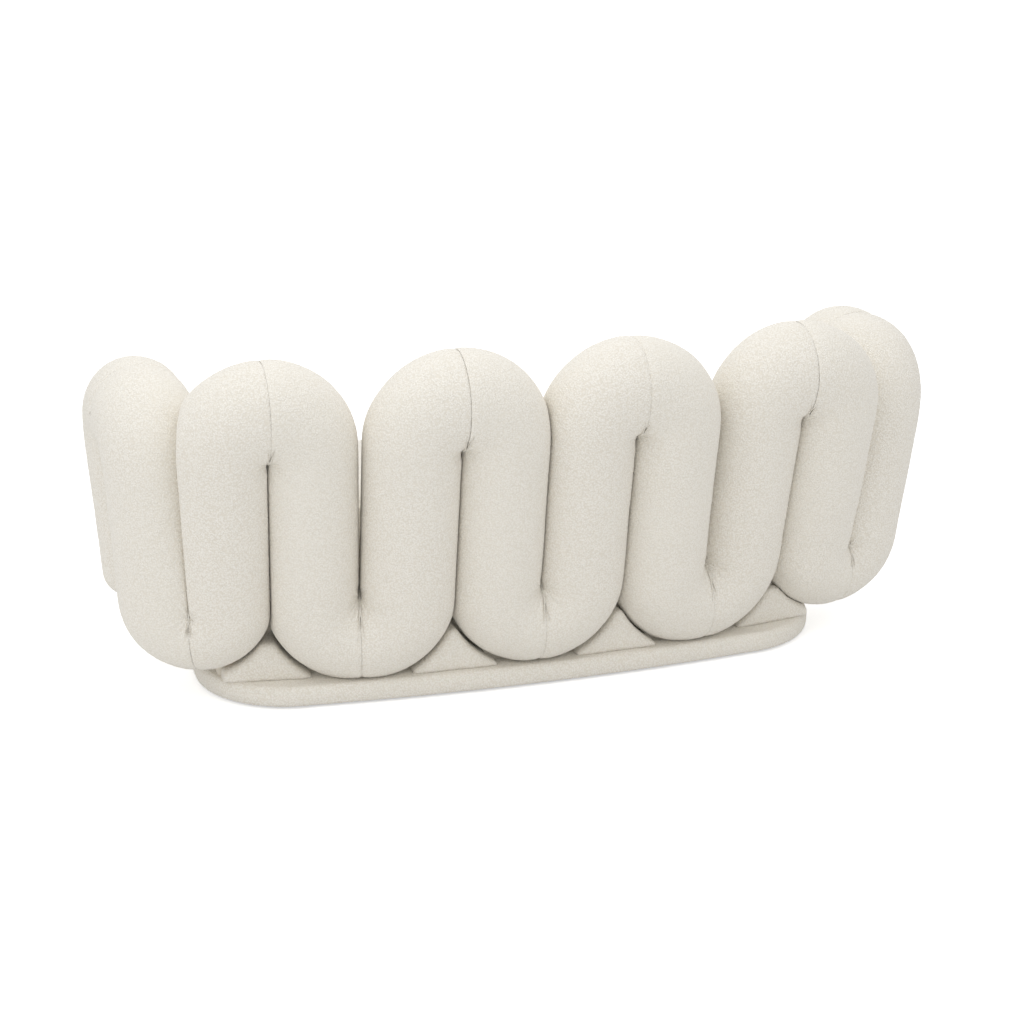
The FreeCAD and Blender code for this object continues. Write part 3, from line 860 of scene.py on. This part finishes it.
def domedPad(shape, profile, spacing=0.02):
    # outlines at each (inset, height) from the underside's middle to the top's middle, closed
    rings = [level(planOutline(shape, inset, spacing)[0], height) for inset, height in profile]
    spine = np.array([0.0, (shape["back"] + shape["front"]) / 2])
    shares = (0.66, 0.33, 0.08)
    lowest, highest = rings[0], rings[-1]
    lowRings = [level(spine + (lowest[:, :2] - spine) * s, lowest[0, 2]) for s in shares[::-1]]
    highRings = [level(spine + (highest[:, :2] - spine) * s, highest[0, 2]) for s in shares]
    return cappedEnds(np.stack(lowRings + rings + highRings))


deckPad = {"voxel": 0.006, "channelPitch": 0.11, "channelWidth": 0.006, "channelDepth": 0.0030,
           "lumps": 0.0004}


def makeDeckPad():
    # thin foam pad in calico, sewn across in shallow channels
    low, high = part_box("deck_pad")
    profile = [(0.004, low.z + 0.0004), (0.0015, low.z + 0.003), (0.0008, low.z + 0.010),
               (0.0015, high.z - 0.003), (0.004, high.z - 0.0012), (0.010, high.z - 0.0004)]
    piece = makePiece("deck_pad_cover", *domedPad(bench, profile))
    evenMesh(piece, deckPad["voxel"])
    bakeModifiers(piece)
    points = readMesh(piece, "co")
    over = smoothStep(high.z - 0.006, high.z - 0.002, points[:, 2])
    pitch = deckPad["channelPitch"]
    across = (points[:, 0] + pitch / 2) % pitch - pitch / 2
    channels = deckPad["channelDepth"] * np.exp(-(across / deckPad["channelWidth"]) ** 2)
    rough = deckPad["lumps"] * (1 + lumps(points, 0.04, 9))
    points[:, 2] -= over * (channels + rough)
    setPoints(piece, points)
    finishPiece(piece, calicoCloth, "foam_in_calico", "frame", "deck_pad")


makeInfill()
makeDeckPad()

straps = {"halfWidth": 0.030, "halfThickness": 0.0006, "wave": 0.0011, "waveShare": 0.36,
          "stepCount": 161, "longCount": 5, "crossCount": 11, "wallInset": 0.038,
          "endInset": 0.0205}


def makeStraps(name, node, alongX, centres, ends, other):
    # woven straps as thin closed ribbons that pass over and under the ones they cross
    middle = (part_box("webbing_long")[0].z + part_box("webbing_cross")[1].z) / 2
    along, across = (0, 1) if alongX else (1, 0)
    t = np.linspace(ends[0], ends[1], straps["stepCount"])
    phase = (t[:, None] - other[None, :]) / (other[1] - other[0])
    bump = np.exp(-(phase / straps["waveShare"]) ** 2)
    width = np.linspace(-straps["halfWidth"], straps["halfWidth"], 5)
    thick = straps["halfThickness"]
    allPoints, allFaces, allCaps, offset = [], [], [], 0
    for number, centre in enumerate(centres):
        signs = np.where((np.arange(len(other)) + number) % 2 == 0, 1.0, -1.0)
        height = (bump * signs).sum(axis=1) * straps["wave"] * (1 if alongX else -1)
        grid = np.zeros((len(t), 10, 3))
        grid[..., along] = t[:, None]
        grid[:, :5, across] = centre + width
        grid[:, 5:, across] = centre + width[::-1]
        grid[:, :5, 2] = (middle + height - thick)[:, None]
        grid[:, 5:, 2] = (middle + height + thick)[:, None]
        points = grid.reshape(-1, 3)
        rows, columns = grid.shape[:2]
        faces = gridFaces(rows, columns)
        start = np.arange(columns)
        caps = np.stack([start[::-1], start + (rows - 1) * columns])
        if signedVolume(points, [faces, caps]) < 0:
            faces, caps = faces[:, ::-1], caps[:, ::-1]
        allPoints.append(points)
        allFaces.append(faces + offset)
        allCaps.append(caps + offset)
        offset += len(points)
    piece = makePiece(name, np.concatenate(allPoints),
                      [np.concatenate(allFaces), np.concatenate(allCaps)])
    finishPiece(piece, elasticStrap, "elastic_webbing", "frame", node)


def spread(low, high, count):
    # middles of equal shares of a stretch
    return low + (high - low) * (np.arange(count) + 0.5) / count


webSide = bench["half"] - bench["radii"][0]
longCentres = spread(bench["front"] + straps["wallInset"], bench["back"] - straps["wallInset"],
                     straps["longCount"])
crossCentres = spread(-webSide, webSide, straps["crossCount"])
makeStraps("webbing_long_straps", "webbing_long", True, longCentres,
           (-bench["half"] + straps["endInset"], bench["half"] - straps["endInset"]), crossCentres)
makeStraps("webbing_cross_straps", "webbing_cross", False, crossCentres,
           (bench["front"] + straps["endInset"], bench["back"] - straps["endInset"]), longCentres)
print("bench made")


cushion = {
    "cutInset": 0.008,       # the cover is cut this much small and blown up
    "radii": (0.100, 0.075),
    "bow": 0.046,            # of its back edge, for a straight run of bowRun on each side
    "bowRun": 0.502,
    "draw": 0.007,
    "crown": 0.026,
    "voxel": 0.009,
    "quickVoxel": 0.011,
    "pressure": 4.0,
    "cap": 0.010,            # no point of the cover moves further than this
    "seamDip": 0.0034,
    "seamWidth": 0.0046,
    "drag": 0.0007,
    "dragPitch": 0.0052,
    "dragWidth": 0.018,
}


def inflate(piece, pressure, cap, frames=20):
    # blows the cover up against its own tension, with no point moving more than cap
    start = readMesh(piece, "co")
    cloth = piece.modifiers.new("stuffing", "CLOTH")
    cloth.settings.quality = 4
    cloth.settings.mass = 0.3
    cloth.settings.use_pressure = True
    cloth.settings.uniform_pressure_force = pressure
    cloth.settings.effector_weights.gravity = 0.0
    cloth.point_cache.frame_start = 1
    cloth.point_cache.frame_end = frames
    for number in range(1, frames + 1):
        scene.frame_set(number)
    bakeModifiers(piece)
    move = readMesh(piece, "co") - start
    length = np.linalg.norm(move, axis=1, keepdims=True)
    setPoints(piece, start + move * np.minimum(1.0, cap / np.maximum(length, 1e-9)))
    scene.frame_set(1)


def makeSeatCushion():
    # boxed cushion: starts a little small, is blown up as cloth, then gets its two sewn seams
    low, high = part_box("seat_cushion")
    inset = cushion["cutInset"]
    bow = cushion["bow"] * ((high.x - cushion["radii"][0]) / cushion["bowRun"]) ** 2
    shape = {"half": high.x - inset, "back": high.y - inset, "front": low.y + inset,
             "radii": cushion["radii"], "bow": bow, "draw": cushion["draw"]}
    edge = high.z - cushion["crown"]
    profile = [(0.020, low.z + 0.0012), (0.008, low.z + 0.003), (0.0, low.z + 0.016),
               (-0.0015, (low.z + edge) / 2), (0.0, edge - 0.014), (0.008, edge - 0.001),
               (0.050, edge + 0.010), (0.110, edge + 0.016), (0.165, edge + 0.0195)]
    piece = makePiece("seat_cushion_cover", *domedPad(shape, profile))
    evenMesh(piece, cushion["voxel"])
    bakeModifiers(piece)
    inflate(piece, cushion["pressure"], cushion["cap"])
    subdivide(piece)
    points, normals = readMesh(piece, "co"), readMesh(piece, "normal")
    upright = smoothStep(0.15, 0.75, np.hypot(normals[:, 0], normals[:, 1]))
    for seamHeight in (low.z + 0.016, edge - 0.004):
        above = points[:, 2] - seamHeight
        dip = cushion["seamDip"] * np.exp(-(above / cushion["seamWidth"]) ** 2)
        drag = cushion["drag"] * np.cos((points[:, 0] + points[:, 1]) / cushion["dragPitch"])
        drag = drag * np.exp(-np.abs(above) / cushion["dragWidth"])
        points = points + ((drag - dip) * upright)[:, None] * normals
    uneven = 0.0016 * lumps(points, 0.16, 51) + 0.0006 * lumps(points, 0.06, 52)
    points = fleece(points + uneven[:, None] * normals, normals, 61)
    points[:, 2] = np.clip(points[:, 2], low.z + 0.0005, high.z + 0.006)
    setPoints(piece, points)
    setAttribute(piece, "toneAndShading", 0.08 * lumps(points, 0.3, 7))
    finishPiece(piece, boucleCloth, "ivory_boucle", "seat_cushion", "seat_cushion")


makeSeatCushion()
print("seat cushion made")


for name, piece in nodes.items():
    if piece.hide_render:
        continue
    if name.startswith("seat_tie"):
        finish = boucleCloth  # bound in the cover's cloth, because it shows beside the cushion
    elif name.startswith("post") or "_tie_" in name or name == "bench_corner_blocks":
        finish = beechWood
    elif name == "glides":
        finish = nylonGlide
    else:
        finish = birchPly
    piece.data.materials.clear()
    piece.data.materials.append(finish)
print("wood and glides finished")


studio = {"ambient": 0.80, "floorColor": "#F2F2F2", "floorLift": 0.5, "floorHalf": 40.0}
lamps = {
    "top_softbox": {"power": 26.0, "width": 3.0, "place": (0.3, 0.4, 3.2), "aim": (0, 0, 0.3)},
    "left_softbox": {"power": 11.0, "width": 2.4, "place": (3.2, 2.2, 1.9), "aim": (0, 0, 0.4)},
    "front_softbox": {"power": 12.0, "width": 2.4, "place": (-1.5, -3.2, 2.2), "aim": (0, 0, 0.4)},
}


def makeFloor():
    # pale floor: lit and shaded by the lamps, and lifted to white for the camera
    half = studio["floorHalf"]
    points = np.array([[-half, -half, 0], [half, -half, 0], [half, half, 0], [-half, half, 0]])
    floor = makePiece("studio_floor", points, [np.array([[0, 1, 2, 3]])])
    material = bpy.data.materials.new("painted_floor")
    material.use_nodes = True
    tree = material.node_tree
    tree.nodes.clear()
    paint = add(tree, "ShaderNodeBsdfDiffuse", {"in:Color": linear(studio["floorColor"])})
    path = add(tree, "ShaderNodeLightPath")
    seen = add(tree, "ShaderNodeMath", {"operation": "ADD"},
               {0: path.outputs["Is Camera Ray"], 1: path.outputs["Is Glossy Ray"]})
    lift = add(tree, "ShaderNodeMath", {"operation": "MULTIPLY", 1: studio["floorLift"]},
               {0: seen.outputs[0]})
    glow = add(tree, "ShaderNodeEmission", None, {"Strength": lift.outputs[0]})
    both = add(tree, "ShaderNodeAddShader", None, {0: paint.outputs[0], 1: glow.outputs[0]})
    add(tree, "ShaderNodeOutputMaterial", None, {"Surface": both.outputs[0]})
    floor.data.materials.append(material)


def makeWorld():
    # dimmer white for lighting the piece, full white where a camera or mirror ray sees it
    world = bpy.data.worlds.new("white_studio")
    world.use_nodes = True
    scene.world = world
    tree = world.node_tree
    tree.nodes.clear()
    path = add(tree, "ShaderNodeLightPath")
    seen = path.outputs["Is Camera Ray"]
    for ray in ("Is Glossy Ray", "Is Transmission Ray"):
        seen = add(tree, "ShaderNodeMath", {"operation": "MAXIMUM"},
                   {0: seen, 1: path.outputs[ray]}).outputs[0]
    white = (1.0, 1.0, 1.0, 1.0)
    soft = add(tree, "ShaderNodeBackground", {"in:Color": white, "in:Strength": studio["ambient"]})
    full = add(tree, "ShaderNodeBackground", {"in:Color": white, "in:Strength": 1.0})
    both = add(tree, "ShaderNodeMixShader", None, {0: seen, 1: soft.outputs[0], 2: full.outputs[0]})
    add(tree, "ShaderNodeOutputWorld", None, {"Surface": both.outputs[0]})


def aim(piece, place, target):
    # stands at place with its -Z axis towards target
    piece.location = place
    turned = (Vector(target) - Vector(place)).to_track_quat("-Z", "Y")
    piece.rotation_euler = turned.to_euler()


def makeLamp(name, settings):
    lamp = bpy.data.lights.new(name, "AREA")
    lamp.energy = settings["power"]
    lamp.shape = "SQUARE"
    lamp.size = settings["width"]
    holder = bpy.data.objects.new(name, lamp)
    scene.collection.objects.link(holder)
    aim(holder, settings["place"], settings["aim"])


makeFloor()
makeWorld()
for name, settings in lamps.items():
    makeLamp(name, settings)

# place and aim fitted to the photograph, lens to its width
camera = {"place": (1.2958, 4.2798, 1.8255), "target": (-0.0292, -0.0478, 0.3037), "lens": 71.8,
          "sensor": 36.0, "reach": 100.0}
cameraData = bpy.data.cameras.new("camera")
cameraData.lens = camera["lens"]
cameraData.sensor_width = camera["sensor"]
cameraData.clip_end = camera["reach"]
cameraPiece = bpy.data.objects.new("camera", cameraData)
scene.collection.objects.link(cameraPiece)
aim(cameraPiece, camera["place"], camera["target"])
scene.camera = cameraPiece
scene.view_settings.view_transform = "Standard"
print("studio made")
